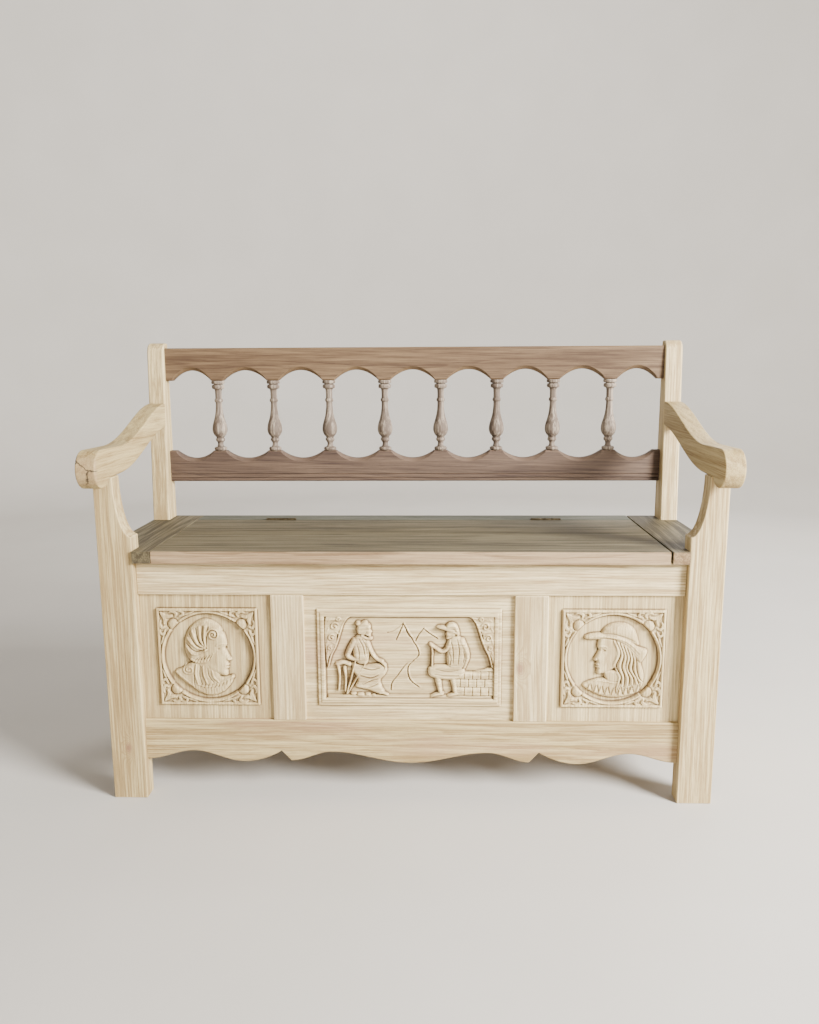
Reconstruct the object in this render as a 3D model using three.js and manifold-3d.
// Carved oak hall bench with a spindled back, scrolled arms and a lift-up seat over a chest.
// Millimetres. X runs along the bench, +Y to its back, +Z up. The origin is on the floor, under
// the middle of the box that the whole bench fits in.
import * as THREE from 'three';
import { mergeVertices } from 'three/addons/utils/BufferGeometryUtils.js';
import Module from 'manifold-3d';

const wasm = await Module();
wasm.setup();

// ---- Driving dimensions ----

const WIDTH = 1150;            // over the legs, posts and arms
const DEPTH = 436;             // front of the arm scrolls to the backs of the posts
const SEAT_HEIGHT = 493;
const BOARD = 23;              // thickness of the lid and the seat ends
const GAP = 0.3;               // clearance between neighbouring pieces

const SCROLL = { radius: 34.5, height: 649 };
const SCROLL_OVERHANG = 70.5;  // how far the scrolls stand in front of the legs

const LEG = { width: 65, depth: 36, top: 630, topWidth: 36, sweepStart: 519 };
const POST = { width: 36, depth: 54, top: 877, rakeTop: 856, rake: 21.5, topRadius: 21 };
const FRAME = { setback: 12.5, thickness: 22 };
const PANEL_OPENING = { low: 157.5, high: 406 };
const STILE = { inner: 197.5, outer: 260 };
const SIDE_FRAME = { setback: 10, thickness: 20 };
const BACK_FRAME = { setback: 6, thickness: 20 };

const TENON = { thickness: 8, length: 20, shoulder: 12 };
const GROOVE_DEPTH = 7.5;
const TONGUE = 7;              // how far a panel or a stub tenon reaches into a groove
const ROOT = 1;                // how far a tenon starts inside its own piece

const LID = { halfLength: 474.5, overhang: 6, seam: 156.5, rearGap: 3, chamfer: 2.5 };
const SEAT_END_INNER = 476;
const BATTEN = { x: 330, width: 44, thickness: 18, front: 50, back: 292 };

// Each arm: its ends on the post, and the control points of its two S-curves as the distance
// behind the legs and the height.
const ARM = {
  postHigh: 748,
  postLow: 698,
  topCurve: [[240, 746], [160, 684], [60, 682]],
  underCurve: [[45, 631], [150, 633], [215, 688]],
  scrollEnd: 326,              // angle at which the scroll meets the top of the leg
  tenon: { width: 12, low: 710, high: 736 },
};

const BACK_RAIL = { top: 866, bottom: 796, archRise: 29, lobe: 13 };
const LOWER_RAIL = { top: 643, bottom: 575, scoop: 21, hump: 14 };
const SPINDLES = { count: 8, pitch: 122, tenonRadius: 6, tenonLength: 12 };

const CHEST_BOTTOM = 95;       // lower edge of the side and rear rails
const FLOOR = { cleat: 20, boards: 4, thickness: 12, top: 152.5 };

const HINGE = { x: 290, length: 65, leafHeight: 19, leaf: 1.2, barrel: 3, bore: 1.7, pin: 1.4 };
const HINGE_RISE = 1;          // pin axis above the seat surface
const SCREW = { head: 3, shank: 1.5, length: 13, spread: 20, drop: 12 };

// ---- Derived places ----

const HALF = WIDTH / 2;
const BACK = DEPTH / 2;
const FRONT = -BACK + SCROLL_OVERHANG;            // front faces of the legs
const behind = (distance) => FRONT + distance;    // y of a point behind the leg fronts
const SEAT_UNDER = SEAT_HEIGHT - BOARD;
const RAIL_TOP = SEAT_UNDER - GAP;
const LEG_INNER = HALF - LEG.width;
const POST_INNER = HALF - POST.width;
const POST_FRONT = BACK - POST.depth;
const FRAME_Y = [behind(FRAME.setback), behind(FRAME.setback + FRAME.thickness)];
const SIDE_X = [HALF - SIDE_FRAME.setback - SIDE_FRAME.thickness, HALF - SIDE_FRAME.setback];
const BACK_Y = [BACK - BACK_FRAME.setback - BACK_FRAME.thickness, BACK - BACK_FRAME.setback];
const LID_REAR = POST_FRONT - LID.rearGap / 2;
const STRIP_FRONT = LID_REAR + LID.rearGap;
const HINGE_Y = LID_REAR + LID.rearGap / 2;
const HINGE_Z = SEAT_HEIGHT + HINGE_RISE;
const postFrontAt = (z) => POST_FRONT + POST.rake * (z - SEAT_HEIGHT) / (POST.rakeTop - SEAT_HEIGHT);
const middle = ([low, high]) => (low + high) / 2;
const tongueIn = (range) => [middle(range) - TENON.thickness / 2, middle(range) + TENON.thickness / 2];

// ---- Materials ----

const oak = (color, roughness = 0.7) => new THREE.MeshStandardMaterial({ color, roughness });
const frameOak = oak(0xcbb999);
const panelOak = oak(0xc6b193);
const lidOak = oak(0x9a8a70);
const railOak = oak(0x9a7558);
const spindleWood = oak(0xb39c92, 0.6);
const innerOak = oak(0xb39a76, 0.85);
const brass = new THREE.MeshStandardMaterial({ color: 0x8a6f3c, roughness: 0.45, metalness: 1 });
const steel = new THREE.MeshStandardMaterial({ color: 0x8d8d8a, roughness: 0.4, metalness: 1 });

// ---- Shape helpers ----

function solid(geometry) {
  geometry.deleteAttribute('normal');
  geometry.deleteAttribute('uv');
  const merged = mergeVertices(geometry, 1e-4);
  const vertProperties = new Float32Array(merged.attributes.position.array);
  const triVerts = new Uint32Array(merged.index.array);
  return new wasm.Manifold(new wasm.Mesh({ numProp: 3, vertProperties, triVerts }));
}

function geometryOf(manifold) {
  const mesh = manifold.getMesh();
  const geometry = new THREE.BufferGeometry();
  geometry.setAttribute('position', new THREE.BufferAttribute(mesh.vertProperties, mesh.numProp));
  geometry.setIndex(new THREE.BufferAttribute(mesh.triVerts, 1));
  geometry.computeVertexNormals();
  return geometry;
}

// A box from its ranges in X, Y and Z, given in either order, grown on every side.
function block(x, y, z, grow = 0) {
  const size = [x, y, z].map(([a, b]) => Math.abs(b - a) + 2 * grow);
  const geometry = new THREE.BoxGeometry(...size);
  geometry.translate(middle(x), middle(y), middle(z));
  return solid(geometry);
}

// The three ways an outline is drawn and pulled into a solid.
const DRAWN = {
  front: new THREE.Matrix4().makeBasis(   // drawn in X and Z, pulled along Y
    new THREE.Vector3(1, 0, 0), new THREE.Vector3(0, 0, 1), new THREE.Vector3(0, -1, 0)),
  side: new THREE.Matrix4().makeBasis(    // drawn in Y and Z, pulled along X
    new THREE.Vector3(0, 1, 0), new THREE.Vector3(0, 0, 1), new THREE.Vector3(1, 0, 0)),
  plan: new THREE.Matrix4(),              // drawn in X and Y, pulled along Z
};

function prism(view, outline, range) {
  const low = Math.min(...range);
  const high = Math.max(...range);
  const shape = new THREE.Shape(outline.map(([u, v]) => new THREE.Vector2(u, v)));
  const geometry = new THREE.ExtrudeGeometry(shape, { depth: high - low, bevelEnabled: false });
  geometry.translate(0, 0, view === 'front' ? -high : low);
  geometry.applyMatrix4(DRAWN[view]);
  return solid(geometry);
}

// A round bar along an axis, centred on the given point.
function rod(axis, centre, radius, length, segments = 12) {
  const geometry = new THREE.CylinderGeometry(radius, radius, length, segments);
  if (axis === 'x') geometry.rotateZ(Math.PI / 2);
  if (axis === 'z') geometry.rotateX(Math.PI / 2);
  geometry.translate(...centre);
  return solid(geometry);
}

const join = (first, ...others) => others.reduce((whole, piece) => whole.add(piece), first);
const cut = (first, ...others) => others.reduce((whole, piece) => whole.subtract(piece), first);

function bezier(points, steps) {
  const vectors = points.map(([u, v]) => new THREE.Vector2(u, v));
  return new THREE.CubicBezierCurve(...vectors).getPoints(steps).map((p) => [p.x, p.y]);
}

function arc([u, v], radius, from, to, steps) {
  return Array.from({ length: steps + 1 }, (_, i) => {
    const angle = THREE.MathUtils.degToRad(from + (to - from) * i / steps);
    return [u + radius * Math.cos(angle), v + radius * Math.sin(angle)];
  });
}

// ---- Joinery shared by neighbours ----

const FRONT_TONGUE = tongueIn(FRAME_Y);
const SIDE_TONGUE = tongueIn(SIDE_X);
const BACK_TONGUE = tongueIn(BACK_Y);
const shouldered = (low, high) => [low + TENON.shoulder, high - TENON.shoulder];
const TOP_TENON_Z = shouldered(PANEL_OPENING.high, RAIL_TOP);
const BOTTOM_TENON_Z = shouldered(CHEST_BOTTOM, PANEL_OPENING.low);
const LOWER_RAIL_TENON_Z = shouldered(LOWER_RAIL.bottom, LOWER_RAIL.top - LOWER_RAIL.scoop);
const TOP_RAIL_TENON_Z = shouldered(BACK_RAIL.bottom, BACK_RAIL.top);
const GROOVE_Z = [BOTTOM_TENON_Z[1], TOP_TENON_Z[0]];

// Ranges of the tenons. The mortise is the same block grown by the clearance.
const TENONS = {
  front: (side, z) => [
    [side * (LEG_INNER - ROOT), side * (LEG_INNER + TENON.length)], FRONT_TONGUE, z],
  sideFront: (side, z) => [SIDE_TONGUE.map((x) => side * x),
    [behind(LEG.depth - TENON.length), behind(LEG.depth + ROOT)], z],
  sideBack: (side, z) => [SIDE_TONGUE.map((x) => side * x),
    [POST_FRONT - ROOT, POST_FRONT + TENON.length], z],
  back: (side, z) => [
    [side * (POST_INNER - ROOT), side * (POST_INNER + TENON.length)], BACK_TONGUE, z],
  legTop: (side) => [[side * (HALF - 3 * TENON.thickness), side * (HALF - TENON.thickness)],
    [behind(TENON.thickness), behind(LEG.depth - TENON.thickness)],
    [LEG.top - ROOT, LEG.top + TENON.length]],
  armRear: (side) => {
    const centre = HALF - POST.width / 2;
    const { width, low, high } = ARM.tenon;
    return [[side * (centre - width / 2), side * (centre + width / 2)],
      [postFrontAt(low) - 3 * ROOT, postFrontAt(high) + TENON.length], [low, high]];
  },
};

// ---- Legs, posts and arms ----

function frontLeg(side) {
  const sweepWidth = LEG.width - LEG.topWidth;
  const sweepHeight = LEG.top - LEG.sweepStart;
  const sweep = arc([0, 0], 1, -90, 0, 8).map(([u, v]) => [
    side * (LEG_INNER + sweepWidth * u), LEG.top - GAP + (sweepHeight - GAP) * v]);
  const outline = [[side * HALF, 0], [side * LEG_INNER, 0], ...sweep, [side * HALF, LEG.top - GAP]];
  const body = prism('front', outline, [FRONT, behind(LEG.depth)]);
  const groove = block([side * (LEG_INNER - 1), side * (LEG_INNER + GROOVE_DEPTH)],
    FRONT_TONGUE, GROOVE_Z, GAP);
  const sideGroove = block(SIDE_TONGUE.map((x) => side * x),
    [behind(LEG.depth - GROOVE_DEPTH), behind(LEG.depth + 1)], GROOVE_Z, GAP);
  const mortises = [TOP_TENON_Z, BOTTOM_TENON_Z].flatMap((z) => [
    block(...TENONS.front(side, z), GAP), block(...TENONS.sideFront(side, z), GAP)]);
  return join(cut(body, groove, sideGroove, ...mortises), block(...TENONS.legTop(side)));
}

function backPost(side) {
  const crown = arc([postFrontAt(POST.rakeTop) + POST.topRadius, POST.top - POST.topRadius],
    POST.topRadius, 180, 90, 5);
  const outline = [[BACK, 0], [POST_FRONT, 0], [POST_FRONT, SEAT_HEIGHT], ...crown, [BACK, POST.top]];
  const body = prism('side', outline, [side * POST_INNER, side * HALF]);
  const frameGroove = block([side * (POST_INNER - 1), side * (POST_INNER + GROOVE_DEPTH)],
    BACK_TONGUE, GROOVE_Z, GAP);
  const sideGroove = block(SIDE_TONGUE.map((x) => side * x),
    [POST_FRONT - 1, POST_FRONT + GROOVE_DEPTH], GROOVE_Z, GAP);
  const mortises = [TOP_TENON_Z, BOTTOM_TENON_Z].flatMap((z) => [
    block(...TENONS.back(side, z), GAP), block(...TENONS.sideBack(side, z), GAP)]);
  const backRailMortises = [LOWER_RAIL_TENON_Z, TOP_RAIL_TENON_Z].map((z) =>
    block(...TENONS.back(side, z), GAP));
  return cut(body, frameGroove, sideGroove, ...mortises, ...backRailMortises,
    block(...TENONS.armRear(side), GAP));
}

function arm(side) {
  const centre = [behind(SCROLL.radius - SCROLL_OVERHANG), SCROLL.height];
  const onPost = (z) => [postFrontAt(z) - GAP, z];
  const placed = ([distance, z]) => [behind(distance), z];
  const topCurve = bezier([onPost(ARM.postHigh), ...ARM.topCurve.map(placed)], 12);
  const scroll = arc(centre, SCROLL.radius, 90, ARM.scrollEnd, 14);
  const underCurve = bezier([...ARM.underCurve.map(placed), onPost(ARM.postLow)], 12);
  const outline = [...topCurve, ...scroll, [FRONT, LEG.top], ...underCurve];
  const body = prism('side', outline, [side * (HALF - LEG.topWidth), side * HALF]);
  return join(cut(body, block(...TENONS.legTop(side), GAP)), block(...TENONS.armRear(side)));
}

// ---- Back: rails and spindles ----

const spindleX = Array.from({ length: SPINDLES.count },
  (_, i) => SPINDLES.pitch * (i - (SPINDLES.count - 1) / 2));

// The scalloped edge between the posts: a flat at every spindle and at each post, and a parabola
// in every bay between them that stands off the flats by `depth`.
function scallops(z, flat, depth, steps = 8) {
  const supports = [-POST_INNER + GAP, ...spindleX, POST_INNER - GAP];
  const points = [[supports[0], z]];
  for (let bay = 0; bay < supports.length - 1; bay += 1) {
    const start = supports[bay] + flat;
    const end = supports[bay + 1] - flat;
    for (let i = 0; i <= steps; i += 1) {
      const t = i / steps;
      points.push([start + (end - start) * t, z + depth * (1 - (2 * t - 1) ** 2)]);
    }
  }
  points.push([supports.at(-1), z]);
  return points;
}

const backRailTenons = (z) => [-1, 1].map((side) => block(...TENONS.back(side, z)));
const spindleSockets = (z) => spindleX.map((x) =>
  rod('z', [x, middle(BACK_Y), z], SPINDLES.tenonRadius + GAP, 2 * (SPINDLES.tenonLength + GAP)));

function backTopRail() {
  const arches = scallops(BACK_RAIL.bottom, BACK_RAIL.lobe, BACK_RAIL.archRise);
  const ends = [[POST_INNER - GAP, BACK_RAIL.top], [-POST_INNER + GAP, BACK_RAIL.top]];
  const body = prism('front', [...arches, ...ends], BACK_Y);
  return join(cut(body, ...spindleSockets(BACK_RAIL.bottom)), ...backRailTenons(TOP_RAIL_TENON_Z));
}

function backLowerRail() {
  const scoops = scallops(LOWER_RAIL.top, LOWER_RAIL.hump, -LOWER_RAIL.scoop);
  const ends = [[POST_INNER - GAP, LOWER_RAIL.bottom], [-POST_INNER + GAP, LOWER_RAIL.bottom]];
  const body = prism('front', [...scoops, ...ends], BACK_Y);
  return join(cut(body, ...spindleSockets(LOWER_RAIL.top)), ...backRailTenons(LOWER_RAIL_TENON_Z));
}

// Turned outline as [radius, height above the lower rail], from the foot bead to the top rings.
const SPINDLE_PROFILE = [
  [11, 0.3], [13.5, 4], [11, 8], [6.5, 12], [6.1, 18], [9.4, 22], [9.4, 26], [8.5, 29],
  [13.6, 37], [15.2, 46], [14.2, 55], [11.6, 66], [8.8, 77], [7, 88], [6.6, 106],
  [9.2, 110], [7.2, 115], [7.4, 133], [13, 137], [13, 143], [11, 145], [14.3, 148], [13.5, 152.7],
];

function spindle(x) {
  const height = BACK_RAIL.bottom - LOWER_RAIL.top;
  const { tenonRadius, tenonLength } = SPINDLES;
  const profile = [
    [0, -tenonLength], [tenonRadius, -tenonLength], [tenonRadius, 0.3], ...SPINDLE_PROFILE,
    [tenonRadius, height - 0.3], [tenonRadius, height + tenonLength], [0, height + tenonLength]];
  const geometry = new THREE.LatheGeometry(profile.map(([r, z]) => new THREE.Vector2(r, z)), 12);
  geometry.rotateX(Math.PI / 2);
  geometry.translate(x, middle(BACK_Y), LOWER_RAIL.top);
  return solid(geometry);
}

// ---- Seat: fixed ends, hinge strip and lid ----

function seatEnd(side) {
  const outline = [
    [SEAT_END_INNER, behind(-LID.overhang)], [LEG_INNER - GAP, behind(-LID.overhang)],
    [LEG_INNER - GAP, behind(LEG.depth) + GAP], [HALF, behind(LEG.depth) + GAP],
    [HALF, POST_FRONT - GAP], [POST_INNER - GAP, POST_FRONT - GAP],
    [POST_INNER - GAP, BACK], [SEAT_END_INNER, BACK]];
  return prism('plan', outline.map(([x, y]) => [side * x, y]), [SEAT_UNDER, SEAT_HEIGHT]);
}

const screwX = (side, which) => side * HINGE.x + which * SCREW.spread;
const screwZ = HINGE_Z - SCREW.drop;

// Room for the barrel of each hinge in the edge beside it, and pilot holes for its screws.
function hingeCuts(edge, inward) {
  return [-1, 1].flatMap((side) => {
    const x = [side * HINGE.x - HINGE.length / 2 - 1, side * HINGE.x + HINGE.length / 2 + 1];
    const barrel = block(x, [edge - inward, HINGE_Y + inward * (HINGE.barrel + GAP)],
      [HINGE_Z - HINGE.barrel - GAP, SEAT_HEIGHT + 1]);
    const pilots = [-1, 1].map((which) => rod('y',
      [screwX(side, which), edge + inward * SCREW.length / 2, screwZ],
      SCREW.shank + GAP, SCREW.length + 1, 8));
    return [barrel, ...pilots];
  });
}

function hingeStrip() {
  const x = SEAT_END_INNER - GAP;
  const body = block([-x, x], [STRIP_FRONT, BACK], [SEAT_UNDER, SEAT_HEIGHT]);
  return cut(body, ...hingeCuts(STRIP_FRONT, 1));
}

function lidBoardFront() {
  const front = behind(-LID.overhang);
  const rear = behind(LID.seam) - GAP / 2;
  const outline = [
    [rear, SEAT_UNDER], [rear, SEAT_HEIGHT], [front + LID.chamfer, SEAT_HEIGHT],
    [front, SEAT_HEIGHT - LID.chamfer], [front, SEAT_UNDER]];
  return prism('side', outline, [-LID.halfLength, LID.halfLength]);
}

function lidBoardRear() {
  const body = block([-LID.halfLength, LID.halfLength], [behind(LID.seam) + GAP / 2, LID_REAR],
    [SEAT_UNDER, SEAT_HEIGHT]);
  return cut(body, ...hingeCuts(LID_REAR, -1));
}

function lidBatten(side) {
  const { x, width, thickness, front, back } = BATTEN;
  const low = SEAT_UNDER - GAP - thickness;
  const bevel = thickness * 0.6;
  const outline = [
    [behind(front), SEAT_UNDER - GAP], [behind(front), SEAT_UNDER - GAP - thickness + bevel],
    [behind(front) + bevel, low], [behind(back) - bevel, low],
    [behind(back), SEAT_UNDER - GAP - thickness + bevel], [behind(back), SEAT_UNDER - GAP]];
  return prism('side', outline, [side * x - width / 2, side * x + width / 2]);
}

// ---- Butt hinges ----

// One leaf: a plate in the joint and its knuckles. `inward` points from the pin into the wood.
function hingeLeaf(side, inward, knuckles) {
  const x0 = side * HINGE.x - HINGE.length / 2;
  const plateY = [HINGE_Y + inward * GAP / 2, HINGE_Y + inward * (GAP / 2 + HINGE.leaf)];
  const shoulder = HINGE_Z - HINGE.barrel - GAP;
  const plate = block([x0, x0 + HINGE.length], plateY, [HINGE_Z - HINGE.leafHeight, shoulder]);
  const third = HINGE.length / 3;
  const parts = knuckles.flatMap((index) => {
    const x = [x0 + index * third + GAP / 2, x0 + (index + 1) * third - GAP / 2];
    return [
      block(x, plateY, [shoulder - 1, HINGE_Z]),
      rod('x', [middle(x), HINGE_Y, HINGE_Z], HINGE.barrel, x[1] - x[0])];
  });
  const bore = rod('x', [side * HINGE.x, HINGE_Y, HINGE_Z], HINGE.bore, HINGE.length + 2);
  const holes = [-1, 1].map((which) => rod('y',
    [screwX(side, which), HINGE_Y + inward, screwZ], SCREW.head + GAP, 4, 10));
  return cut(join(plate, ...parts), bore, ...holes);
}

function hingePin(side) {
  return rod('x', [side * HINGE.x, HINGE_Y, HINGE_Z], HINGE.pin, HINGE.length + 1);
}

// Countersunk screw through one leaf, with a slotless low head that lies in the leaf.
function hingeScrew(side, inward, which) {
  const headFace = GAP / 2;
  const neck = headFace + HINGE.leaf + 0.3;
  const profile = [
    [0, headFace], [SCREW.head, headFace], [SCREW.shank, neck],
    [SCREW.shank, SCREW.length - 3], [0, SCREW.length]];
  const geometry = new THREE.LatheGeometry(
    profile.map(([r, along]) => new THREE.Vector2(r, along)), 8);
  if (inward < 0) geometry.rotateX(Math.PI);
  geometry.translate(screwX(side, which), HINGE_Y, screwZ);
  return solid(geometry);
}

// ---- Front frame ----

const EASING = {
  straight: (t) => t,
  wave: (t) => (1 - Math.cos(Math.PI * t)) / 2,
  scoop: (t) => 1 - (1 - t) ** 2,
};

// Lower edge of the apron from the middle outwards. Each stretch runs from the station before it.
const APRON = [
  { x: 0, z: 71 },
  { x: 151, z: 92.5, ease: 'wave', steps: 8 },
  { x: 229, z: 74, ease: 'wave', steps: 5 },
  { x: 247.5, z: 94, ease: 'straight', steps: 1 },
  { x: 321, z: 71.5, ease: 'scoop', steps: 5 },
  { x: 419, z: 93, ease: 'wave', steps: 7 },
  { x: LEG_INNER - GAP, z: 75.5, ease: 'wave', steps: 6 },
];

function apronHalf() {
  const points = [[APRON[0].x, APRON[0].z]];
  for (let i = 1; i < APRON.length; i += 1) {
    const [from, to] = [APRON[i - 1], APRON[i]];
    for (let step = 1; step <= to.steps; step += 1) {
      const t = step / to.steps;
      points.push([
        from.x + (to.x - from.x) * t, from.z + (to.z - from.z) * EASING[to.ease](t)]);
    }
  }
  return points;
}

const frontTenons = (z) => [-1, 1].map((side) => block(...TENONS.front(side, z)));

// Groove along the panel edge of a front rail, for the panels and the stub tenons of the stiles.
const frontGroove = (z) => block([-LEG_INNER - 1, LEG_INNER + 1], FRONT_TONGUE, z, GAP);

function frontTopRail() {
  const x = LEG_INNER - GAP;
  const body = block([-x, x], FRAME_Y, [PANEL_OPENING.high, RAIL_TOP]);
  const groove = frontGroove([PANEL_OPENING.high - 1, PANEL_OPENING.high + GROOVE_DEPTH]);
  return join(cut(body, groove), ...frontTenons(TOP_TENON_Z));
}

function frontBottomRail() {
  const half = apronHalf();
  const left = half.slice(1).reverse().map(([x, z]) => [-x, z]);
  const x = LEG_INNER - GAP;
  const outline = [...left, ...half, [x, PANEL_OPENING.low], [-x, PANEL_OPENING.low]];
  const body = prism('front', outline, FRAME_Y);
  const groove = frontGroove([PANEL_OPENING.low - GROOVE_DEPTH, PANEL_OPENING.low + 1]);
  return join(cut(body, groove), ...frontTenons(BOTTOM_TENON_Z));
}

function stile(side) {
  const { low, high } = PANEL_OPENING;
  const x = [side * STILE.inner, side * STILE.outer];
  const body = block(x, FRAME_Y, [low + GAP, high - GAP]);
  const stub = block(x, FRONT_TONGUE, [low - TONGUE, high + TONGUE]);
  const grooves = [[STILE.inner - 1, STILE.inner + GROOVE_DEPTH],
    [STILE.outer - GROOVE_DEPTH, STILE.outer + 1]].map((range) =>
    block(range.map((value) => side * value), FRONT_TONGUE, [low - 20, high + 20], GAP));
  return cut(join(body, stub), ...grooves);
}

// ---- Carved front panels ----

const FIELD = { front: 14, ground: 19, low: 186.5, high: 378.5 };
const SQUARE = { centre: 382, half: 96, roundel: 88 };
const CENTRE_FIELD = { half: 169.5, border: 8.5 };

// The plate that sits in the grooves all round.
function panelPlate([x0, x1]) {
  return block([x0 - TONGUE, x1 + TONGUE], FRONT_TONGUE,
    [PANEL_OPENING.low - TONGUE, PANEL_OPENING.high + TONGUE]);
}

// A raised block on the plate.
const panelField = (x) => block(x, [behind(FIELD.front), FRONT_TONGUE[0] + 1],
  [FIELD.low, FIELD.high]);

function roundelPanel(side) {
  const opening = side < 0 ? [-LEG_INNER, -STILE.outer] : [STILE.outer, LEG_INNER];
  const x = side * SQUARE.centre;
  const field = panelField([x - SQUARE.half, x + SQUARE.half]);
  const depth = FIELD.ground - FIELD.front;
  const roundel = rod('y', [x, behind(FIELD.front + depth / 2 - 1), middle([FIELD.low, FIELD.high])],
    SQUARE.roundel, depth + 2, 40);
  return cut(join(panelPlate(opening), field), roundel);
}

function scenePanel() {
  const { half, border } = CENTRE_FIELD;
  const sunk = block([-half + border, half - border],
    [behind(FIELD.front - 1), behind(FIELD.ground)], [FIELD.low + border, FIELD.high - border]);
  return cut(join(panelPlate([-STILE.inner, STILE.inner]), panelField([-half, half])), sunk);
}

// ---- Side and rear frames of the chest ----

function sideRail(side, z, tenonZ, grooveZ) {
  const y = [behind(LEG.depth) + GAP, POST_FRONT - GAP];
  const x = SIDE_X.map((value) => side * value);
  const groove = block(SIDE_TONGUE.map((value) => side * value), [y[0] - 2, y[1] + 2], grooveZ, GAP);
  return join(cut(block(x, y, z), groove),
    block(...TENONS.sideFront(side, tenonZ)), block(...TENONS.sideBack(side, tenonZ)));
}

const { low: OPEN_LOW, high: OPEN_HIGH } = PANEL_OPENING;
const TOP_GROOVE_Z = [OPEN_HIGH - 1, OPEN_HIGH + GROOVE_DEPTH];
const BOTTOM_GROOVE_Z = [OPEN_LOW - GROOVE_DEPTH, OPEN_LOW + 1];
const PANEL_Z = [OPEN_LOW - TONGUE, OPEN_HIGH + TONGUE];

function sidePanel(side) {
  const y = [behind(LEG.depth) - TONGUE, POST_FRONT + TONGUE];
  return block(SIDE_TONGUE.map((value) => side * value), y, PANEL_Z);
}

function rearRail(z, tenonZ, grooveZ) {
  const x = POST_INNER - GAP;
  const groove = block([-POST_INNER - 1, POST_INNER + 1], BACK_TONGUE, grooveZ, GAP);
  return join(cut(block([-x, x], BACK_Y, z), groove), ...backRailTenons(tenonZ));
}

const rearPanel = () => block([-POST_INNER - TONGUE, POST_INNER + TONGUE], BACK_TONGUE, PANEL_Z);

// ---- Chest floor ----

const CLEAT_Z = [FLOOR.top - FLOOR.thickness - GAP - FLOOR.cleat, FLOOR.top - FLOOR.thickness - GAP];

function floorCleat(halfLength, y) {
  return block([-halfLength, halfLength], y, CLEAT_Z);
}

function floorBoard(index) {
  const half = POST_INNER - 1;
  const width = 2 * half / FLOOR.boards;
  const x = [-half + index * width + GAP, -half + (index + 1) * width - GAP];
  return block(x, [FRAME_Y[1] + 2, BACK_Y[0] - 2], [FLOOR.top - FLOOR.thickness, FLOOR.top]);
}

// ---- Assembly ----

const bench = new THREE.Group();

function add(name, manifold, material) {
  const mesh = new THREE.Mesh(geometryOf(manifold), material);
  mesh.name = name;
  bench.add(mesh);
}

const SIDES = [['left', -1], ['right', 1]];

for (const [label, side] of SIDES) {
  add(`front_leg_${label}`, frontLeg(side), frameOak);
  add(`back_post_${label}`, backPost(side), frameOak);
  add(`arm_${label}`, arm(side), frameOak);
  add(`seat_end_${label}`, seatEnd(side), lidOak);
  add(`stile_${label}`, stile(side), frameOak);
  add(`front_panel_${label}`, roundelPanel(side), panelOak);
  add(`side_top_rail_${label}`,
    sideRail(side, [OPEN_HIGH, RAIL_TOP], TOP_TENON_Z, TOP_GROOVE_Z), frameOak);
  add(`side_bottom_rail_${label}`,
    sideRail(side, [CHEST_BOTTOM, OPEN_LOW], BOTTOM_TENON_Z, BOTTOM_GROOVE_Z), frameOak);
  add(`side_panel_${label}`, sidePanel(side), panelOak);
}

add('back_top_rail', backTopRail(), railOak);
add('back_lower_rail', backLowerRail(), railOak);
spindleX.forEach((x, i) => add(`spindle_${i + 1}`, spindle(x), spindleWood));

add('front_top_rail', frontTopRail(), frameOak);
add('front_bottom_rail', frontBottomRail(), frameOak);
add('front_panel_centre', scenePanel(), panelOak);

add('rear_top_rail', rearRail([OPEN_HIGH, RAIL_TOP], TOP_TENON_Z, TOP_GROOVE_Z), innerOak);
add('rear_bottom_rail', rearRail([CHEST_BOTTOM, OPEN_LOW], BOTTOM_TENON_Z, BOTTOM_GROOVE_Z),
  innerOak);
add('rear_panel', rearPanel(), innerOak);
add('floor_cleat_front',
  floorCleat(LEG_INNER - 1, [FRAME_Y[1] + GAP, FRAME_Y[1] + GAP + FLOOR.cleat]), innerOak);
add('floor_cleat_rear',
  floorCleat(POST_INNER - 1, [BACK_Y[0] - GAP - FLOOR.cleat, BACK_Y[0] - GAP]), innerOak);
for (let i = 0; i < FLOOR.boards; i += 1) {
  add(`floor_board_${i + 1}`, floorBoard(i), innerOak);
}

add('hinge_strip', hingeStrip(), lidOak);
add('lid_board_front', lidBoardFront(), lidOak);
add('lid_board_rear', lidBoardRear(), lidOak);
for (const [label, side] of SIDES) {
  add(`lid_batten_${label}`, lidBatten(side), innerOak);
  add(`hinge_${label}_strip_leaf`, hingeLeaf(side, 1, [0, 2]), brass);
  add(`hinge_${label}_lid_leaf`, hingeLeaf(side, -1, [1]), brass);
  add(`hinge_${label}_pin`, hingePin(side), brass);
  add(`hinge_${label}_strip_screw_1`, hingeScrew(side, 1, -1), steel);
  add(`hinge_${label}_strip_screw_2`, hingeScrew(side, 1, 1), steel);
  add(`hinge_${label}_lid_screw_1`, hingeScrew(side, -1, -1), steel);
  add(`hinge_${label}_lid_screw_2`, hingeScrew(side, -1, 1), steel);
}

export default bench;
